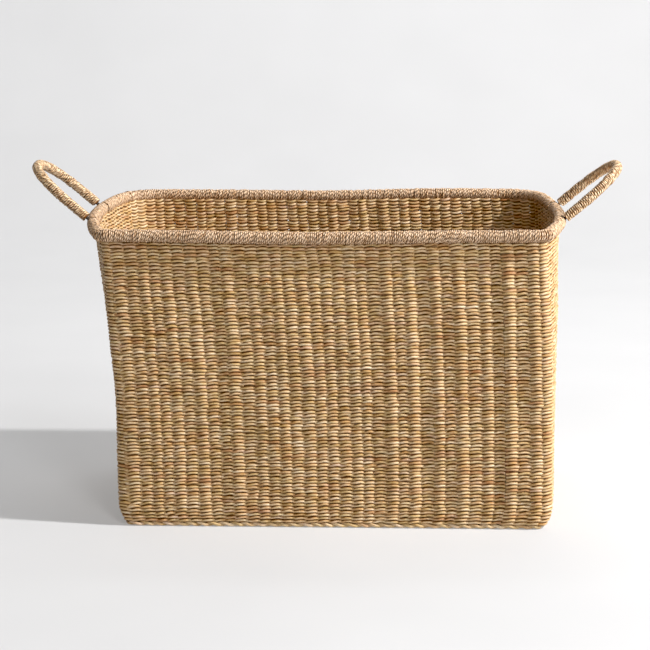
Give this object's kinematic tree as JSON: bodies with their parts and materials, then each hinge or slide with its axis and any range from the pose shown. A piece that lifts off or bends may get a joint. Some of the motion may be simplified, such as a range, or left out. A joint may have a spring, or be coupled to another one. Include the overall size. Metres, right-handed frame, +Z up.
{
  "type": "storage basket",
  "caption": "Rectangular woven seagrass storage basket with a cord-wrapped rim and a swinging loop handle on each short side.",
  "frame": {"origin": "on the floor, under the middle of the whole object's box", "axes": "+X along the long sides to the right, +Y from the front to the back, +Z up"},
  "size_m": [0.8071, 0.4156, 0.469],
  "materials": {
    "wall_seagrass": "twined dry seagrass, matt with a faint natural sheen",
    "base_seagrass": "twined dry seagrass, matt",
    "border_seagrass": "plied dry seagrass cord, matt",
    "rim_cord": "fine seagrass cord wound close, matt",
    "handle_cord": "fine seagrass cord wound close, matt",
    "frame_wire": "dark painted steel wire, satin"
  },
  "bodies": {
    "basket": {"rim_hoop": "frame_wire", "base_hoop": "frame_wire", "corner_post_front_left": "frame_wire", "corner_post_front_right": "frame_wire", "corner_post_back_left": "frame_wire", "corner_post_back_right": "frame_wire", "wall_front": "wall_seagrass", "wall_back": "wall_seagrass", "wall_left": "wall_seagrass", "wall_right": "wall_seagrass", "wall_corner_front_left": "wall_seagrass", "wall_corner_front_right": "wall_seagrass", "wall_corner_back_left": "wall_seagrass", "wall_corner_back_right": "wall_seagrass", "base_panel": "base_seagrass", "base_border_front": "border_seagrass", "base_border_back": "border_seagrass", "base_border_left": "border_seagrass", "base_border_right": "border_seagrass", "rim_wrap_front": "rim_cord", "rim_wrap_back": "rim_cord", "rim_wrap_left_front": "rim_cord", "rim_wrap_left_middle": "rim_cord", "rim_wrap_left_rear": "rim_cord", "rim_wrap_right_front": "rim_cord", "rim_wrap_right_middle": "rim_cord", "rim_wrap_right_rear": "rim_cord"},
    "left_handle": {"handle_core_left": "frame_wire", "handle_wrap_left": "handle_cord"},
    "right_handle": {"handle_core_right": "frame_wire", "handle_wrap_right": "handle_cord"}
  },
  "joints": [
    {"name": "left_handle_hinge", "type": "hinge", "parent": "basket", "child": "left_handle", "pos_m": [-0.31518, -0.016, 0.393], "axis": [-0.038, 0.9993, 0], "range_deg": [-40, 49]},
    {"name": "right_handle_hinge", "type": "hinge", "parent": "basket", "child": "right_handle", "pos_m": [0.31567, 0.006, 0.393], "axis": [-0.0073, -1, 0], "range_deg": [-40, 49]}
  ]
}
